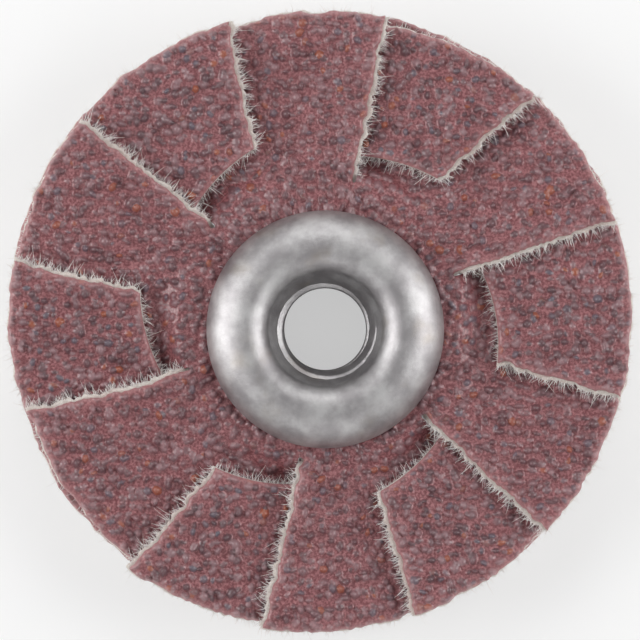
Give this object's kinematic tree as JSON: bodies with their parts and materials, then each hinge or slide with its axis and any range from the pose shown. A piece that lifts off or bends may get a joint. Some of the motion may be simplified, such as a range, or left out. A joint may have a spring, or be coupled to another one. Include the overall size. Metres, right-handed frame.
{
  "type": "overlap-slotted abrasive disc",
  "caption": "Small grinding disc of overlapping abrasive cloth flaps, clamped by a domed steel eyelet with a threaded through hole.",
  "frame": {"origin": "on the thread's axis, in the plane of the rear seating face", "axes": "+Z along the thread out of the abrasive face; X and Y across the disc, with the plies clamped slightly towards +Y"},
  "size_m": [0.0381, 0.0381, 0.0075],
  "materials": {
    "eyelet_steel": "satin tumbled steel",
    "washer_steel": "satin tumbled steel",
    "grain_coat": "purple-grey aluminium oxide grain in glossy red-brown resin",
    "cotton_cloth": "undyed woven cotton with frayed cut edges"
  },
  "bodies": {
    "root": {"threaded_eyelet": "eyelet_steel", "rear_washer": "washer_steel", "ply_1_grain_coat": "grain_coat", "ply_1_cloth": "cotton_cloth", "ply_2_grain_coat": "grain_coat", "ply_2_cloth": "cotton_cloth", "ply_3_grain_coat": "grain_coat", "ply_3_cloth": "cotton_cloth", "ply_4_grain_coat": "grain_coat", "ply_4_cloth": "cotton_cloth"}
  },
  "joints": []
}
